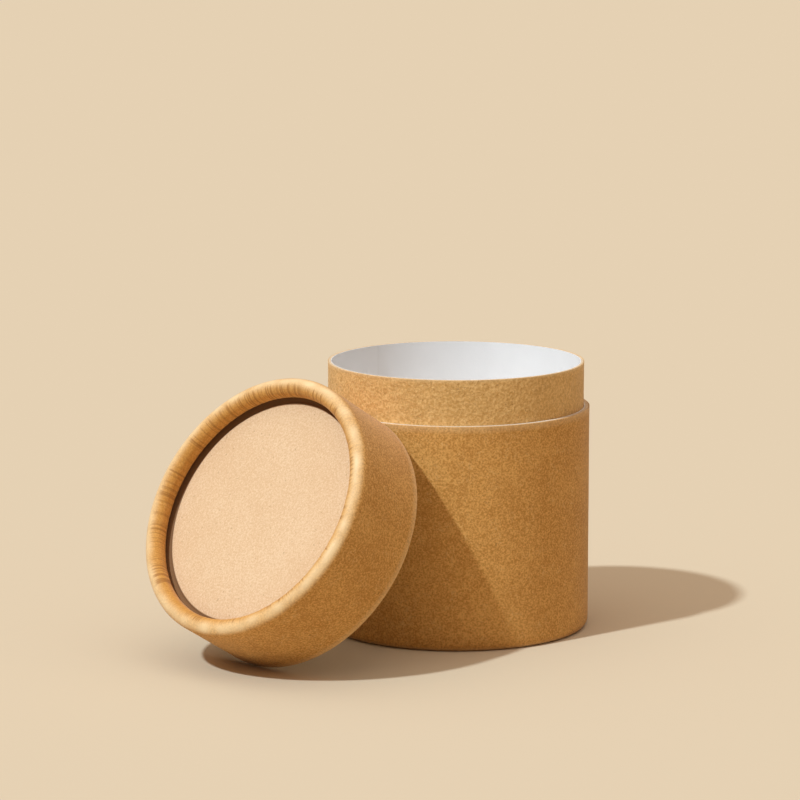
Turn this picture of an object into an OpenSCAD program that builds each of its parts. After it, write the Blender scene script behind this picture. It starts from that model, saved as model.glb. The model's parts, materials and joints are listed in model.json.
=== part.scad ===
// Round gift tube box in kraft paper and board, with its lid off and leaning against it.
// Millimetres. The tube stands upright on z = 0 with its axis on the origin.
// Body and lid are cut from the same tube stock, board wrapped in kraft paper, and one end of each
// is rolled inwards over a round board disc. Behind the disc the stock is lined with white card.
// A thinner tube, glued inside the body, stands out of it as the neck that carries the lid.

/* [Tube stock] */
// Outside diameter of the wrapped stock, for the body and the lid
tube_d = 80; // [60:1:110]
// Thickness of the board that the stock is wound from
board_t = 0.9; // [0.6:0.1:1.6]
// Thickness of the kraft paper glued round the stock
wrap_t = 0.25; // [0.15:0.05:0.4]
// Thickness of the white card that lines the stock
card_t = 0.35; // [0.2:0.05:0.5]
// Thickness of a glue line between two plies
glue_t = 0.05; // [0.03:0.01:0.08]

/* [Body] */
// Height of the shoulder, where the stock is cut square, above the table
shoulder_h = 66.8; // [50:0.2:110]

/* [Neck] */
// Height of the neck above the shoulder
neck_h = 13.4; // [8:0.2:17]
// Radial play between the neck and the lined stock, filled with glue in the body, free in the lid
neck_play = 0.1; // [0.05:0.05:0.3]
// Thickness of the neck's board
neck_board_t = 0.6; // [0.4:0.1:1.2]
// Thickness of the kraft paper round the neck
neck_wrap_t = 0.2; // [0.15:0.05:0.4]
// Thickness of the white paper inside the neck
neck_lining_t = 0.15; // [0.1:0.05:0.3]

/* [Rolled ends] */
// Radius of the hollow that the board is rolled around
roll_hollow_r = 1.4; // [0.8:0.1:1.8]
// Straight stretch of the roll's sides, which makes it taller than it is wide
roll_straight = 0.8; // [0.2:0.1:2]
// How far the body's roll is pressed flat where it stands
base_press = 0.12; // [0.04:0.02:0.14]

/* [Discs] */
// Thickness of the board discs that the rolled ends hold
disc_t = 1.8; // [1:0.1:2.6]
// Thickness of the white paper discs glued to their inner faces
disc_lining_t = 0.3; // [0.2:0.05:0.6]
// Radial play round every disc
disc_play = 0.1; // [0.05:0.05:0.3]

/* [Lid] */
// Height of the lid from its open end to the top of its roll
lid_h = 26.4; // [24:0.2:40]

/* [Leaning lid] */
// Compass direction of the lid's axis, counterclockwise from +X
lean_turn = 225.5; // [180:0.5:270]
// Sideways offset of the lid's axis from the tube's axis
lean_offset = -2.4; // [-6:0.2:6]
// Least clearance between the leaning lid and the tube
lean_gap = 0.3; // [0.2:0.05:0.6]

/* [Hidden] */
$fn = 144;

// Radii of the stock, from outside to inside
wrap_r = tube_d / 2;
board_r = wrap_r - wrap_t - glue_t;
bore_r = board_r - board_t;
card_r = bore_r - glue_t;
lined_bore_r = card_r - card_t;
disc_r = bore_r - disc_play;

// The roll: the ring of its centre, and the outer radius of its section
roll_r = roll_hollow_r + board_t + glue_t + wrap_t;
roll_ring_r = wrap_r - roll_r;
roll_h = 2 * roll_r + roll_straight;

// Radii of the neck, from outside to inside
neck_r = lined_bore_r - neck_play;
neck_board_r = neck_r - neck_wrap_t - glue_t;
neck_lining_r = neck_board_r - neck_board_t - glue_t;

// Heights in the body, from the table up
base_disc_z = roll_h - base_press + glue_t;
base_lining_z = base_disc_z + disc_t + glue_t;
floor_z = base_lining_z + disc_lining_t;
top_z = shoulder_h + neck_h;

// Heights in the lid, from its open end
lid_disc_z = lid_h - roll_h - glue_t - disc_t;
lid_depth = lid_disc_z - glue_t - disc_lining_t;

// Rise of the lid's axis above level. The lined edge of its rim lies over the shoulder, or, where
// the shoulder is too high for that, the rim leans on the wall at the least rise.
least_rise = 20;
rim_fall = (shoulder_h + lean_gap) / (wrap_r + lined_bore_r);
lean_rise = rim_fall < cos(least_rise) ? acos(rim_fall) : least_rise;

// How far the tube reaches sideways at a height, with the clearance on it
function tube_reach(z) =
    z < shoulder_h + lean_gap ? wrap_r + lean_gap :
    z < top_z + lean_gap ? neck_r + lean_gap : 0;

// Distance of the lid's open end from the tube's axis at which a point of its rim,
// on a circle of radius r and at angle a from the rim's highest point, just clears the tube
function rim_stand(r, a) =
    let (z = (wrap_r + r * cos(a)) * cos(lean_rise),
         side = abs(r * sin(a) + lean_offset),
         reach = tube_reach(z))
    r * cos(a) * sin(lean_rise) + (side < reach ? sqrt(reach * reach - side * side) : 0);

lean_stand = max([for (a = [-60 : 0.5 : 60]) for (r = [lined_bore_r, wrap_r]) rim_stand(r, a)]);
lean_z = wrap_r * cos(lean_rise);

// Carries the lid from its own upright frame to where it leans
module leaning() {
    rotate([0, 0, lean_turn])
        translate([lean_stand, lean_offset, lean_z])
            rotate([0, 90 - lean_rise, 0])
                children();
}

// Outline of the roll's section at one depth into its plies, as a slot of radius r
module roll_outline(r) {
    translate([roll_ring_r, roll_r]) circle(r);
    translate([roll_ring_r - r, roll_r]) square([2 * r, roll_straight]);
    translate([roll_ring_r, roll_r + roll_straight]) circle(r);
}

// Section of one ply of the stock, standing on its rolled end: the wall rises outside, and the
// ply turns under and inwards three quarters of the way round, to end on the disc
module rolled_ply(r, ply_t, h) {
    turn_r = r - roll_ring_r;
    difference() {
        roll_outline(turn_r);
        roll_outline(turn_r - ply_t);
        translate([roll_ring_r, roll_r]) square([roll_r, roll_h]);
    }
    translate([r - ply_t, roll_r]) square([ply_t, h - roll_r]);
}

// A plain ply: a tube of outer radius r and thickness ply_t, from height z to height top
module ply(r, ply_t, z, top) {
    rotate_extrude() translate([r - ply_t, z]) square([ply_t, top - z]);
}

module disc(t, z) {
    translate([0, 0, z]) cylinder(h = t, r = disc_r);
}

// One ply of the body's stock, pressed flat where it stands on the table
module body_ply(r, ply_t) {
    rotate_extrude()
        intersection() {
            translate([0, -base_press]) rolled_ply(r, ply_t, shoulder_h + base_press);
            square([wrap_r, shoulder_h]);
        }
}

// One ply of the lid's stock, turned over so that its rolled end is on top
module lid_ply(r, ply_t) {
    rotate_extrude() translate([0, lid_h]) mirror([0, 1]) rolled_ply(r, ply_t, lid_h);
}

module outer_tube() {
    color("burlywood") body_ply(board_r, board_t);
}

module outer_wrap() {
    color("peru") body_ply(wrap_r, wrap_t);
}

module outer_lining() {
    color("white") ply(card_r, card_t, floor_z, shoulder_h);
}

module base_disc() {
    color("tan") disc(disc_t, base_disc_z);
}

module base_disc_lining() {
    color("white") disc(disc_lining_t, base_lining_z);
}

module neck_tube() {
    color("burlywood") ply(neck_board_r, neck_board_t, floor_z, top_z);
}

module neck_wrap() {
    color("peru") ply(neck_r, neck_wrap_t, floor_z, top_z);
}

module neck_lining() {
    color("white") ply(neck_lining_r, neck_lining_t, floor_z, top_z);
}

module lid_tube() {
    color("burlywood") leaning() lid_ply(board_r, board_t);
}

module lid_wrap() {
    color("peru") leaning() lid_ply(wrap_r, wrap_t);
}

module lid_lining() {
    color("white") leaning() ply(card_r, card_t, 0, lid_depth);
}

module lid_disc() {
    color("tan") leaning() disc(disc_t, lid_disc_z);
}

module lid_disc_lining() {
    color("white") leaning() disc(disc_lining_t, lid_depth);
}

outer_tube();
outer_wrap();
outer_lining();
base_disc();
base_disc_lining();
neck_tube();
neck_wrap();
neck_lining();
lid_tube();
lid_wrap();
lid_lining();
lid_disc();
lid_disc_lining();
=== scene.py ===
import json
import math

import bpy
from mathutils import Matrix, Vector, noise


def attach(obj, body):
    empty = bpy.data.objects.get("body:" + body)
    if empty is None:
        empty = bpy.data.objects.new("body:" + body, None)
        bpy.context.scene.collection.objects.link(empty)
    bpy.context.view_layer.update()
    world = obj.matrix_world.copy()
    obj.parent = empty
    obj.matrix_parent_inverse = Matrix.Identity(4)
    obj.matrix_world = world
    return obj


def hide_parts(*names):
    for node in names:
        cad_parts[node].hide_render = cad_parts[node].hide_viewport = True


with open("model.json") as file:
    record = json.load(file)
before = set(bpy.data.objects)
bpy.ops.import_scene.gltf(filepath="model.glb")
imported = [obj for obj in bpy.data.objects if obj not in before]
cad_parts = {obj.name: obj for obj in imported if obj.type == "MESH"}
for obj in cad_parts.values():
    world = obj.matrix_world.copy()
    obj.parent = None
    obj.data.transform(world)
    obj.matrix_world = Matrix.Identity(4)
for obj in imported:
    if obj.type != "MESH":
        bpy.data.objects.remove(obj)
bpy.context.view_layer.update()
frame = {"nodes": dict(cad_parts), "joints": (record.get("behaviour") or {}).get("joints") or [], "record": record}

mm = 0.001
mergeWithin = 0.01 * mm
smoothAngle = 38  # degrees, past which an edge stays crisp
nodes = frame["nodes"]
mounts = {m["name"]: m for m in frame["record"]["mounts"]}
shoulderHeight = mounts["neck"]["pos_m"][2]
mouthHeight = mounts["mouth"]["pos_m"][2]

# The paper of the tube stock and the roll that it makes with the board, and how finely both are cut
stock = {
    "radius": 40 * mm,
    "paper": 0.25 * mm,
    "rollRadius": 2.6 * mm,
    "rollStraight": 0.8 * mm,
    "edgeRound": 0.06 * mm,
    "steps": 448,
    "arcSteps": 14,
    "wallRing": 2.2 * mm,
}
rollRing = stock["radius"] - stock["rollRadius"]


# 0 at low and 1 at high, eased between them; low may be the larger of the two
def smooth(low, high, value):
    t = min(max((value - low) / (high - low), 0), 1)
    return t * t * (3 - 2 * t)


def awayFromAxis(p):
    r = math.hypot(p.x, p.y)
    return r, Vector((p.x, p.y, 0)) / r


# Modelling

def deselect():
    if bpy.context.object and bpy.context.object.mode != "OBJECT":
        bpy.ops.object.mode_set(mode="OBJECT")
    bpy.ops.object.select_all(action="DESELECT")


def pick(piece):
    deselect()
    piece.select_set(True)
    bpy.context.view_layer.objects.active = piece


# A ring is extruded along an outline of (radius, height) points until it closes on itself
def turnOutline(name, outline, steps):
    deselect()
    radius, height = outline[0]
    bpy.ops.mesh.primitive_circle_add(vertices=steps, radius=radius, location=(0, 0, height))
    piece = bpy.context.object
    piece.name = piece.data.name = name
    bpy.ops.object.mode_set(mode="EDIT")
    bpy.ops.mesh.select_all(action="SELECT")
    for nextRadius, nextHeight in outline[1:] + outline[:1]:
        rise = {"value": (0, 0, nextHeight - height)}
        bpy.ops.mesh.extrude_region_move(TRANSFORM_OT_translate=rise)
        grow = nextRadius / radius
        bpy.ops.transform.resize(value=(grow, grow, 1), center_override=(0, 0, nextHeight))
        radius, height = nextRadius, nextHeight
    bpy.ops.mesh.select_all(action="SELECT")
    bpy.ops.mesh.remove_doubles(threshold=mergeWithin)
    bpy.ops.mesh.delete_loose()
    bpy.ops.mesh.select_all(action="SELECT")
    bpy.ops.mesh.normals_make_consistent(inside=False)
    bpy.ops.object.mode_set(mode="OBJECT")
    bpy.ops.object.transform_apply(location=True, rotation=True, scale=True)
    return piece


# Moves each point by the step that a function gives for it, and keeps three things for the finish:
# how much painted shade or seam line it gets (painted shade inside a roll and along the neck's
# crinkle lines, painted shadow in a ring on the disc, a darker line at the lining's seam), how far
# it is rubbed pale, and where round the tube it is
def pressPaper(piece, move):
    moved = [move(point.co.copy()) for point in piece.data.vertices]
    # slot 1 holds the painted shade and the lining's seam line, slot 2 the real rubbed wear
    for name, part in (("paintedShadeAndSeam", 1), ("worn", 2)):
        kept = piece.data.attributes.new(name, "FLOAT", "POINT")
        kept.data.foreach_set("value", [m[part] for m in moved])
    around = piece.data.attributes.new("around", "FLOAT_VECTOR", "POINT")
    for point, (step, _, _) in zip(piece.data.vertices, moved):
        out = Vector((point.co.x, point.co.y, 0))
        around.data[point.index].vector = out.normalized() * stock["radius"]
        point.co += step


def carry(piece, matrix):
    pick(piece)
    piece.matrix_world = matrix
    bpy.ops.object.transform_apply(location=True, rotation=True, scale=True)


def finishPiece(piece, body, finish, replaced):
    pick(piece)
    bpy.ops.object.shade_smooth_by_angle(angle=math.radians(smoothAngle))
    piece.data.materials.clear()
    piece.data.materials.append(finish)
    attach(piece, body)
    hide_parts(replaced)


# Shading

# One socket's value, with arithmetic that adds Math nodes
class Wire:
    def __init__(self, net, socket):
        self.net, self.socket = net, socket

    def __add__(self, other): return self.net.maths("ADD", self, other)
    def __radd__(self, other): return self.net.maths("ADD", other, self)
    def __sub__(self, other): return self.net.maths("SUBTRACT", self, other)
    def __rsub__(self, other): return self.net.maths("SUBTRACT", other, self)
    def __mul__(self, other): return self.net.maths("MULTIPLY", self, other)
    def __rmul__(self, other): return self.net.maths("MULTIPLY", other, self)
    def __abs__(self): return self.net.maths("ABSOLUTE", self)


class Net:
    def __init__(self, tree):
        self.tree = tree

    # Adds a node: its settings first, then the values or links of its sockets, by name or, as s0
    # or s1, by number
    def node(self, kind, settings=None, out=0, **sockets):
        made = self.tree.nodes.new("ShaderNode" + kind)
        for key, value in (settings or {}).items():
            setattr(made, key, value)
        for key, value in sockets.items():
            number = key[1:]
            self.feed(made.inputs[int(number) if number.isdigit() else key], value)
        return Wire(self, made.outputs[out])

    def feed(self, socket, value):
        if isinstance(value, Wire):
            self.tree.links.new(value.socket, socket)
        else:
            socket.default_value = value

    def maths(self, operation, first, second=0.0):
        return self.node("Math", {"operation": operation}, s0=first, s1=second)


class Finish(Net):
    def __init__(self, name):
        self.material = bpy.data.materials.new(name)
        self.material.use_nodes = True
        super().__init__(self.material.node_tree)
        self.shader = next(n for n in self.tree.nodes if n.type == "BSDF_PRINCIPLED")
        self.place = self.node("TexCoord", out="Object")

    def give(self, **values):
        for name, value in values.items():
            self.feed(self.shader.inputs[name.replace("_", " ")], value)

    def kept(self, name, out="Fac"):
        return self.node("Attribute", {"attribute_name": name}, out=out)

    def noise(self, size, detail=2.0, rough=0.5, place=None):
        return self.node("TexNoise", Vector=place or self.place, Scale=1 / size, Detail=detail,
                         Roughness=rough)

    # 0 below low, 1 above high, with a soft step between
    def step(self, value, edge):
        low, high = edge
        return self.node("MapRange", {"interpolation_type": "SMOOTHSTEP"},
                         s0=value, s1=low, s2=high)

    def mix(self, amount, first, second):
        return self.node("Mix", {"data_type": "RGBA"}, out=2, s0=amount, s6=first, s7=second)

    def bump(self, height, depth):
        return self.node("Bump", Strength=1.0, Distance=depth, Height=height)


def rgb(red, green, blue):
    return (red, green, blue, 1.0)


# Kraft paper: a mottled ground with dark specks, pale fibres and a fine tooth. Painted shade makes
# the inside of a roll a deeper tan with dark streaks where the paper folds, darkens the neck's
# crinkle lines and lays a ring of painted shadow on the disc; where the paper is handled it is
# rubbed pale and smoother.
def kraftFinish(name, look):
    f = Finish(name)
    cloud = f.noise(look["cloudSize"], detail=3.0)
    grain = f.noise(look["grainSize"], detail=2.5, rough=0.65)
    fibre = 1 - abs(f.noise(look["fibreSize"], detail=1.0) * 2 - 1)  # thin winding lines
    patch = f.noise(look["fibreSize"] * look["patchScale"], detail=1.0)
    fibres = f.step(fibre, look["fibreEdge"]) * f.step(patch, look["patchEdge"])
    speck = f.step(f.noise(look["speckSize"], detail=1.0), look["speckEdge"])
    tone = f.step(grain * look["grainShare"] + cloud * look["cloudShare"], look["toneEdge"])
    colour = f.mix(tone, look["dark"], look["light"])
    colour = f.mix(fibres * look["fibreShare"], colour, look["fibre"])
    colour = f.mix(speck * look["speckShare"], colour, look["speck"])
    # painted shade and seam line, as the mesh keeps them
    paintedShadeAndSeam = f.kept("paintedShadeAndSeam")
    if look["streakSize"]:
        around = f.kept("around", "Vector")
        # streaks of painted shade where the roll's paper folds
        streak = f.noise(look["streakSize"], detail=1.5, rough=0.6, place=around)
        streak = f.step(streak, look["streakEdge"])
        band = f.noise(look["streakSize"] * look["bandScale"], detail=1.0, place=around)
        least = look["bandLeast"]
        # painted shade: the inside of the roll tinted a deeper tan
        colour = f.mix(paintedShadeAndSeam * look["rollShadeShare"], colour, look["tan"])
        paintedShadeAndSeam = paintedShadeAndSeam * streak * (least + f.step(band, look["bandEdge"]) * (1 - least))
    worn = f.kept("worn")
    colour = f.mix(worn * look["wornShare"], colour, look["worn"])
    # painted shade: the masked places are darkened towards the painted shade colour
    paintedShadeAndSeam = f.step(paintedShadeAndSeam, look["paintedShadeAndSeamEdge"]) * look["paintedShadeAndSeamShare"]
    crinkle = f.noise(look["crinkleSize"], rough=0.55) * look["crinkleShare"]
    f.give(Base_Color=f.mix(paintedShadeAndSeam, colour, look["paintedShadeAndSeam"]),
           Roughness=look["roughness"] + grain * look["grainRough"] - worn * look["wornGloss"],
           Normal=f.bump(grain + fibres * look["fibreRelief"] + crinkle, look["tooth"]),
           Specular_IOR_Level=look["gloss"],
           Sheen_Weight=look["sheen"],
           Sheen_Roughness=look["sheenRoughness"])
    return f.material


# Board at its cut edge: a grainy ground with pale flakes
def boardFinish(name, look):
    f = Finish(name)
    grain = f.noise(look["grainSize"], detail=3.0, rough=0.6)
    flake = f.step(f.noise(look["flakeSize"], detail=1.0), look["flakeEdge"])
    colour = f.mix(f.step(grain, look["toneEdge"]), look["dark"], look["light"])
    f.give(Base_Color=f.mix(flake * look["flakeShare"], colour, look["flake"]),
           Roughness=look["roughness"] + grain * look["grainRough"],
           Normal=f.bump(grain + flake * look["flakeRelief"], look["tooth"]),
           Specular_IOR_Level=look["gloss"])
    return f.material


# White card or paper: nearly even, with a faint cloud in its colour and relief
def whiteFinish(name, look):
    f = Finish(name)
    cloud = f.noise(look["cloudSize"], detail=3.0)
    grain = f.noise(look["grainSize"])
    shade = f.mix(f.step(cloud, look["toneEdge"]), look["dark"], look["light"])
    # here the mask is only the lining's seam, a darker joint in the paper
    f.give(Base_Color=f.mix(f.kept("paintedShadeAndSeam") * look["paintedShadeAndSeamShare"], shade, look["paintedShadeAndSeam"]),
           Roughness=look["roughness"] + grain * look["grainRough"],
           Normal=f.bump(grain + cloud * look["cloudRelief"], look["tooth"]),
           Specular_IOR_Level=look["gloss"])
    return f.material


wrapLook = {
    "dark": rgb(0.48, 0.215, 0.042),
    "light": rgb(0.78, 0.425, 0.125),
    "toneEdge": (0.33, 0.61),
    "cloudSize": 14 * mm, "cloudShare": 0.17,
    "grainSize": 0.55 * mm, "grainShare": 0.75,
    "fibre": rgb(0.88, 0.58, 0.24),
    "fibreSize": 1.6 * mm, "fibreShare": 0.35, "fibreEdge": (0.93, 1.0),
    "fibreRelief": 0.5,
    "patchScale": 3.1, "patchEdge": (0.48, 0.66),
    "speck": rgb(0.26, 0.11, 0.025),
    "speckSize": 0.9 * mm, "speckShare": 0.5, "speckEdge": (0.70, 0.78),
    # painted shade on the inside of a roll: a deeper tan, and dark streaks where the paper folds
    "tan": rgb(0.62, 0.29, 0.055), "rollShadeShare": 0.55,
    "streakSize": 0.9 * mm, "streakEdge": (0.44, 0.64),
    "bandScale": 9, "bandEdge": (0.35, 0.6), "bandLeast": 0.35,
    # the colour of painted shade inside the roll and along the neck's crinkle lines
    "paintedShadeAndSeam": rgb(0.34, 0.14, 0.03), "paintedShadeAndSeamShare": 0.7, "paintedShadeAndSeamEdge": (0.05, 1.0),
    "worn": rgb(0.94, 0.70, 0.40), "wornShare": 0.85, "wornGloss": 0.42,
    "crinkleSize": 2.5 * mm, "crinkleShare": 0.15,
    "tooth": 0.045 * mm, "roughness": 0.74, "grainRough": 0.2, "gloss": 0.3,
    "sheen": 0.12, "sheenRoughness": 0.4,
}
# the neck keeps the wrap's painted shade colour, which darkens its crinkle lines
neckLook = dict(
    wrapLook,
    dark=rgb(0.62, 0.35, 0.110),
    light=rgb(0.87, 0.55, 0.225),
    grainSize=0.7 * mm,
    crinkleSize=1.9 * mm, crinkleShare=2.4,
    tooth=0.15 * mm,
    streakSize=0,
)
discLook = dict(
    wrapLook,
    dark=rgb(0.69, 0.455, 0.26),
    light=rgb(0.81, 0.590, 0.38),
    cloudSize=20 * mm, cloudShare=0.14,
    grainSize=0.5 * mm,
    fibre=rgb(0.85, 0.65, 0.44),
    speckShare=0.35,
    # very dark colour of the painted shadow in the ring that the roll shades
    paintedShadeAndSeam=rgb(0.16, 0.065, 0.015), paintedShadeAndSeamShare=0.9,
    crinkleShare=0.1,
    tooth=0.03 * mm,
    streakSize=0,
)
boardLook = {
    "dark": rgb(0.60, 0.44, 0.27),
    "light": rgb(0.80, 0.65, 0.46),
    "toneEdge": (0.3, 0.7),
    "grainSize": 0.5 * mm,
    "flake": rgb(0.86, 0.76, 0.60),
    "flakeSize": 0.9 * mm, "flakeShare": 0.5, "flakeEdge": (0.6, 0.72),
    "flakeRelief": 0.3,
    "tooth": 0.05 * mm, "roughness": 0.8, "grainRough": 0.15, "gloss": 0.25,
}
cardLook = {
    "dark": rgb(0.80, 0.77, 0.72),
    "light": rgb(0.88, 0.86, 0.82),
    "toneEdge": (0.3, 0.7),
    "cloudSize": 9 * mm, "cloudRelief": 0.2,
    "grainSize": 0.5 * mm,
    "paintedShadeAndSeam": rgb(0.6, 0.56, 0.5), "paintedShadeAndSeamShare": 0.0,
    "tooth": 0.02 * mm, "roughness": 0.7, "grainRough": 0.12, "gloss": 0.3,
}
liningLook = dict(
    cardLook,
    dark=rgb(0.91, 0.905, 0.90),
    light=rgb(0.95, 0.945, 0.94),
    cloudSize=16 * mm, cloudRelief=1.2,
    paintedShadeAndSeamShare=0.10,
    tooth=0.03 * mm, roughness=0.55,
)

wrapKraft = kraftFinish("wrap_kraft", wrapLook)
neckKraft = kraftFinish("neck_kraft", neckLook)
discKraft = kraftFinish("disc_kraft", discLook)
woundBoard = boardFinish("wound_board", boardLook)
whiteCard = whiteFinish("white_card", cardLook)
whiteLining = whiteFinish("white_lining", liningLook)
print("finishes made")


# The wrap's section on its rolled end: down the wall, round under the roll and up to the disc,
# then back along the paper's inner face
def wrapOutline(height):
    r, t, turn, rise = stock["radius"], stock["paper"], stock["rollRadius"], stock["rollStraight"]
    edge = stock["edgeRound"]
    wallSteps = round((height - turn) / stock["wallRing"])
    wall = [turn + (height - edge - turn) * k / wallSteps for k in range(wallSteps, -1, -1)]
    arc = [math.pi * k / stock["arcSteps"] for k in range(1, stock["arcSteps"] + 1)]

    def roll(q):
        down = [(rollRing + q * math.cos(a), turn - q * math.sin(a)) for a in arc]
        up = [(rollRing - q * math.cos(a / 2), turn + rise + q * math.sin(a / 2)) for a in arc]
        return down + [(rollRing - q, turn + rise)] + up

    outer = [(r, z) for z in wall] + roll(turn)
    inner = [(r - t, z) for z in wall] + roll(turn - t)
    return [(r - edge, height)] + outer + inner[::-1] + [(r - t + edge, height)]


# Body wrap, dented a little on its wall, folded inside its roll, with painted shade inside the roll, and pressed
# flat where it stands
bodyWrapSet = {
    "press": 0.12 * mm,
    "footTop": 8 * mm,
    "dent": 0.035 * mm, "dentSize": 16 * mm, "dentFade": 3 * mm,
    "insideFrom": 0.2 * mm, "insideTo": 1.8 * mm,
    "foldDepth": 0.1 * mm, "foldSize": 1.5 * mm, "foldSharpness": 4,
    "foldRing": 37,  # radius in mm at which foldSize is measured
    "footWorn": 0.5, "footWornFrom": 1.6 * mm, "footWornTo": 0.2 * mm,
    "rimWorn": 0.35, "rimWornHeight": 1 * mm,
}


def bodyWrapMove(p):
    s = bodyWrapSet
    r, out = awayFromAxis(p)
    still = smooth(0, s["dentFade"], shoulderHeight - p.z)
    dent = (noise.noise(p / s["dentSize"]) - 1) * s["dent"] * still
    inside = smooth(s["insideFrom"], s["insideTo"], rollRing - r)
    around = out * s["foldRing"] * mm / s["foldSize"]
    fold = max(0, 1 - abs(noise.noise(around)) * s["foldSharpness"]) * inside
    step = out * (dent * (1 - inside) + fold * s["foldDepth"])
    if p.z < s["footTop"]:
        step.z = max(p.z - s["press"], 0) - p.z
    worn = smooth(s["footWornFrom"], s["footWornTo"], p.z) * s["footWorn"]
    worn += smooth(s["rimWornHeight"], 0, shoulderHeight - p.z) * s["rimWorn"]
    # inside also sets the painted shade inside the roll
    return step, inside, worn


bodyWrap = turnOutline("body_wrap", wrapOutline(shoulderHeight), stock["steps"])
pressPaper(bodyWrap, bodyWrapMove)
finishPiece(bodyWrap, "box", wrapKraft, "outer_wrap")
print("body wrap made")


# Neck wrap, with the crinkles of paper that was glued on wet, and painted shade along the crinkle lines
neckSet = {
    "radius": mounts["neck"]["dims"]["r_mm"] * mm,
    "paper": 0.2 * mm,
    "foot": 8.08 * mm,
    "steps": 448, "ring": 0.55 * mm, "edge": 0.05 * mm,
    "hiddenRing": 1 * mm,
    "crinkle": 0.15 * mm, "crinkleSize": 2.8 * mm, "flatten": 1.6,
    "fineScale": 2.3, "fineShare": 0.5,
    "fadeBelow": 1.5 * mm, "fadeAbove": 1.2 * mm,
    "crinkleShade": 0.35, "crinkleShadeSharpness": 7,
    "rubbed": 0.6, "rubbedHeight": 0.9 * mm,
}


def neckOutline(top):
    s = neckSet
    r, t, e, foot = s["radius"], s["paper"], s["edge"], s["foot"]
    rings = round((top - shoulderHeight) / s["ring"])
    wall = [top - e - (top - e - shoulderHeight) * k / rings for k in range(rings + 1)]
    wall += [shoulderHeight - s["hiddenRing"], shoulderHeight / 2, foot]
    inner = [(r - t, foot), (r - t, top - e), (r - t + e, top)]
    return [(r - e, top)] + [(r, z) for z in wall] + inner


def neckMove(p):
    s = neckSet
    r, out = awayFromAxis(p)
    if r < s["radius"] - s["paper"] / 2:
        return Vector(), 0, 0
    shown = (smooth(0, s["fadeBelow"], p.z - shoulderHeight)
             * smooth(0, s["fadeAbove"], mouthHeight - p.z))
    flat = Vector((p.x, p.y, p.z * s["flatten"])) / s["crinkleSize"]
    fold = abs(noise.noise(flat)) + s["fineShare"] * abs(noise.noise(flat * s["fineScale"]))
    # painted shade along the crinkle lines
    crinkleShade = max(0, 1 - fold * s["crinkleShadeSharpness"]) * s["crinkleShade"] * shown
    rubbed = smooth(s["rubbedHeight"], 0, mouthHeight - p.z) * s["rubbed"]
    return out * (-s["crinkle"] * min(fold, 1) * shown), crinkleShade, rubbed


neckWrap = turnOutline("neck_crinkle_wrap", neckOutline(mouthHeight), neckSet["steps"])
pressPaper(neckWrap, neckMove)
finishPiece(neckWrap, "box", neckKraft, "neck_wrap")
print("neck wrap made")


# Neck lining, whose paper laps over itself at one seam; angles in degrees round the tube
liningSet = {
    "radius": mounts["mouth"]["dims"]["r_mm"] * mm,
    "paper": 0.15 * mm,
    "steps": 360, "rings": 26,
    "seamAngle": 129, "seamWidth": 0.8,
    "lap": 7, "lapDepth": 0.09 * mm,
    "wave": 0.05 * mm, "waveSize": 17 * mm, "waveStretch": 0.6,
    "rimHeight": 1 * mm,
}


def liningOutline(top):
    s = liningSet
    r, t, foot, n = s["radius"], s["paper"], neckSet["foot"], s["rings"]
    inner = [(r, top - (top - foot) * k / n) for k in range(n + 1)]
    return inner + [(r + t, foot), (r + t, top)]


def liningMove(p):
    s = liningSet
    r, out = awayFromAxis(p)
    if r > s["radius"] + s["paper"] / 2:
        return Vector(), 0, 0
    turn = math.degrees(math.atan2(p.y, p.x)) - s["seamAngle"]
    lapped = smooth(0, s["seamWidth"], turn) * (1 - smooth(s["lap"], s["lap"] * 2, turn))
    seam = max(0, 1 - abs(turn) / s["seamWidth"])
    stretched = Vector((p.x, p.y, p.z * s["waveStretch"]))
    wave = (noise.noise(stretched / s["waveSize"]) + 1) / 2 * s["wave"]
    rim = smooth(0, s["rimHeight"], mouthHeight - p.z)
    return -out * (lapped * s["lapDepth"] + wave * rim), seam, 0


neckLining = turnOutline("neck_white_lining", liningOutline(mouthHeight), liningSet["steps"])
pressPaper(neckLining, liningMove)
finishPiece(neckLining, "box", whiteLining, "neck_lining")
print("neck lining made")


# Lid wrap, made standing on its roll, with painted shade inside the roll, then turned over and carried to where it
# leans
lidSet = {
    "height": 26.4 * mm,
    "dent": 0.03 * mm, "dentSize": 13 * mm, "dentFade": 2.5 * mm,
    "insideFrom": -0.9 * mm, "insideTo": 1.2 * mm,
    "rollTop": 9 * mm, "rollFade": 1 * mm,
    "foldDepth": 0.12 * mm, "foldSize": 0.8 * mm, "foldSharpness": 4.5,
    "foldRing": 37,  # radius in mm at which foldSize is measured
    "bunchScale": 5, "bunchFrom": -0.3, "bunchTo": 0.35, "bunchLeast": 0.35,
    "wave": 0.025 * mm, "waveScale": 9, "waveShift": 4,
    "crestFrom": -2.2 * mm, "crestTo": 1.2 * mm, "crestFoot": 2.4 * mm, "crestTop": 0.3 * mm,
    "patchSize": 4 * mm, "patchMean": 0.75, "patchSwing": 0.5,
    "rimWorn": 0.4, "rimWornHeight": 0.8 * mm,
}
lidAxis = Vector(frame["joints"][0]["axis"]).normalized()  # the lid slides along its own axis
lidRim = Vector(mounts["lid_bore"]["pos_m"])
lean = (Matrix.Translation(lidRim)
        @ Matrix.Rotation(math.atan2(lidAxis.y, lidAxis.x), 4, "Z")
        @ Matrix.Rotation(math.pi / 2 - math.asin(lidAxis.z), 4, "Y"))
turnOver = Matrix.Translation((0, 0, lidSet["height"])) @ Matrix.Rotation(math.pi, 4, "X")


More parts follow.
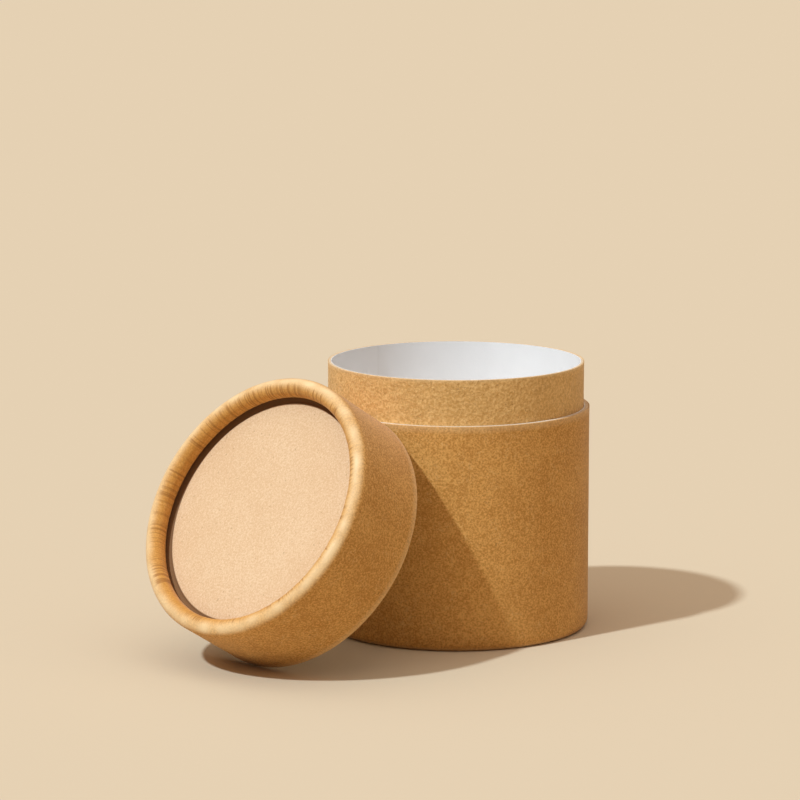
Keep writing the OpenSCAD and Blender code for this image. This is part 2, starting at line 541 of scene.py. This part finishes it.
def lidWrapMove(p):
    s = lidSet
    r, out = awayFromAxis(p)
    still = smooth(0, s["dentFade"], s["height"] - p.z)
    dent = (noise.noise(p / s["dentSize"]) - 1) * s["dent"] * still
    inside = (smooth(s["insideFrom"], s["insideTo"], rollRing - r)
              * smooth(s["rollTop"], s["rollTop"] - s["rollFade"], p.z))
    around = out * s["foldRing"] * mm / s["foldSize"] + Vector((0, 0, p.z / s["rollTop"]))
    fold = max(0, 1 - abs(noise.noise(around)) * s["foldSharpness"]) * inside
    bunch = smooth(s["bunchFrom"], s["bunchTo"], noise.noise(out * s["bunchScale"]))
    fold *= s["bunchLeast"] + (1 - s["bunchLeast"]) * bunch
    wave = noise.noise(out * s["waveScale"] + Vector((s["waveShift"], 0, 0))) * s["wave"] * inside
    turned = 0
    if p.z < stock["rollRadius"]:
        turned = math.atan2(stock["rollRadius"] - p.z, rollRing - r)
    away = -out * math.cos(turned) - Vector((0, 0, math.sin(turned)))  # off the roll's surface
    step = away * (-fold * s["foldDepth"] + wave) + out * dent * (1 - inside)
    crest = (smooth(s["crestFrom"], s["crestTo"], r - rollRing)
             * smooth(s["crestFoot"], s["crestTop"], p.z))
    patchy = s["patchMean"] + s["patchSwing"] * noise.noise(p / s["patchSize"])
    rim = smooth(s["rimWornHeight"], 0, s["height"] - p.z)
    # inside also sets the painted shade inside the roll
    return step, inside, min(1, crest * patchy + rim * s["rimWorn"])


lidWrap = turnOutline("lid_wrap_rolled", wrapOutline(lidSet["height"]), stock["steps"])
pressPaper(lidWrap, lidWrapMove)
carry(lidWrap, lean @ turnOver)
finishPiece(lidWrap, "lid", wrapKraft, "lid_wrap")
print("lid wrap made")


# Lid disc, pressed down where the roll bites it, with painted shadow in the narrow ring that the roll
# shades; heights from the lid's open end
lidDiscSet = {
    "radius": 38.7 * mm,
    "foot": 18.55 * mm, "face": 20.35 * mm, "faceDepth": 0.1 * mm,
    "steps": 256, "rings": 14, "centre": 0.001 * mm,
    "underRoll": (36.7 * mm, 35 * mm),
    "biteFrom": 33.55 * mm, "biteTo": 34.5 * mm, "bite": 0.35 * mm,
    "biteRings": (34.25 * mm, 34 * mm, 33.8 * mm),
    "riseFrom": 36.6 * mm, "riseTo": 35.2 * mm,
    # where the ring of painted shadow starts and ends about biteFrom
    "paintedShadowInner": 0.1 * mm, "paintedShadowOuter": 0.45 * mm,
    "sag": 0.05 * mm, "sagSize": 22 * mm,
}


# The outline ends in two rings of next to no radius, which merge into the centres of the faces
def discOutline():
    s = lidDiscSet
    bite = [*s["underRoll"], s["biteTo"], *s["biteRings"], s["biteFrom"]]
    face = [s["biteFrom"] * (1 - k / s["rings"]) for k in range(1, s["rings"])]
    top = [(r, s["face"]) for r in [s["radius"], *bite, *face, s["centre"]]]
    return [(s["radius"], s["foot"])] + top + [(s["centre"], s["foot"])]


def discMove(p):
    s = lidDiscSet
    r = math.hypot(p.x, p.y)
    if p.z < s["face"] - s["faceDepth"]:
        return Vector(), 0, 0
    bitten = smooth(s["biteFrom"], s["biteTo"], r) * smooth(s["riseFrom"], s["riseTo"], r)
    sag = (noise.noise(p / s["sagSize"]) - 1) / 2 * s["sag"]
    # painted shadow: a ring darkened where the roll shades the disc
    paintedShadow = smooth(s["biteFrom"] - s["paintedShadowInner"], s["biteFrom"] + s["paintedShadowOuter"], r)
    return Vector((0, 0, sag - bitten * s["bite"])), paintedShadow, 0


lidDisc = turnOutline("lid_disc_pressed", discOutline(), lidDiscSet["steps"])
pressPaper(lidDisc, discMove)
carry(lidDisc, lean)
finishPiece(lidDisc, "lid", discKraft, "lid_disc")
print("lid disc made")


# CAD nodes that stay, each with its own finish
nodeFinishes = {
    "outer_tube": woundBoard,
    "lid_tube": woundBoard,
    "neck_tube": woundBoard,
    "outer_lining": whiteCard,
    "lid_lining": whiteCard,
    "base_disc": discKraft,
    "base_disc_lining": whiteLining,
    "lid_disc_lining": whiteLining,
}
for name, finish in nodeFinishes.items():
    nodes[name].data.materials.clear()
    nodes[name].data.materials.append(finish)
print("nodes dressed")


# Floor, light and camera
stageSet = {
    "floorSize": 24,
    "floor": rgb(0.645, 0.545, 0.40),
    "sunFrom": (-0.497, -0.407, 0.766), "sunDistance": 2,
    "sunAngle": 2.6,
    "sunStrength": 2.45,
    "sunTint": (0.85, 0.97, 1.06),
    "skyTint": (1.0, 0.83, 0.70),
    "skyHigh": 1.42,
}

deselect()
bpy.ops.mesh.primitive_plane_add(size=stageSet["floorSize"])
floor = bpy.context.object
floor.name = "floor"
floorFinish = Finish("floor_paint")
floorFinish.give(Base_Color=stageSet["floor"], Roughness=1.0, Specular_IOR_Level=0.0)
floor.data.materials.append(floorFinish.material)

sunFrom = Vector(stageSet["sunFrom"])
bpy.ops.object.light_add(type="SUN", location=sunFrom * stageSet["sunDistance"])
sun = bpy.context.object
sun.rotation_euler = sunFrom.to_track_quat("Z", "Y").to_euler()
sun.data.angle = math.radians(stageSet["sunAngle"])
sun.data.energy = stageSet["sunStrength"]
sun.data.color = stageSet["sunTint"]

# The sky is brightest overhead, as under a softbox, and dark at the horizon and below it
world = bpy.data.worlds.new("studio")
bpy.context.scene.world = world
world.use_nodes = True
sky = Net(world.node_tree)
upward = sky.node("SeparateXYZ", out="Z", Vector=sky.node("TexCoord", out="Generated"))
above = sky.maths("MAXIMUM", upward, 0.0)
background = world.node_tree.nodes["Background"]
sky.feed(background.inputs["Color"], rgb(*stageSet["skyTint"]))
sky.feed(background.inputs["Strength"], above * above * stageSet["skyHigh"])

cameraSet = {
    "place": (-0.016746, -1.09815, 0.252219),
    "down": 9.5197,
    "lens": 167.27,
    "sensor": 36,
}
bpy.ops.object.camera_add(location=cameraSet["place"],
                          rotation=(math.radians(90 - cameraSet["down"]), 0, 0))
camera = bpy.context.object
camera.data.lens = cameraSet["lens"]
camera.data.sensor_width = cameraSet["sensor"]
bpy.context.scene.camera = camera
bpy.context.scene.view_settings.view_transform = "Standard"
print("stage, light and camera set")
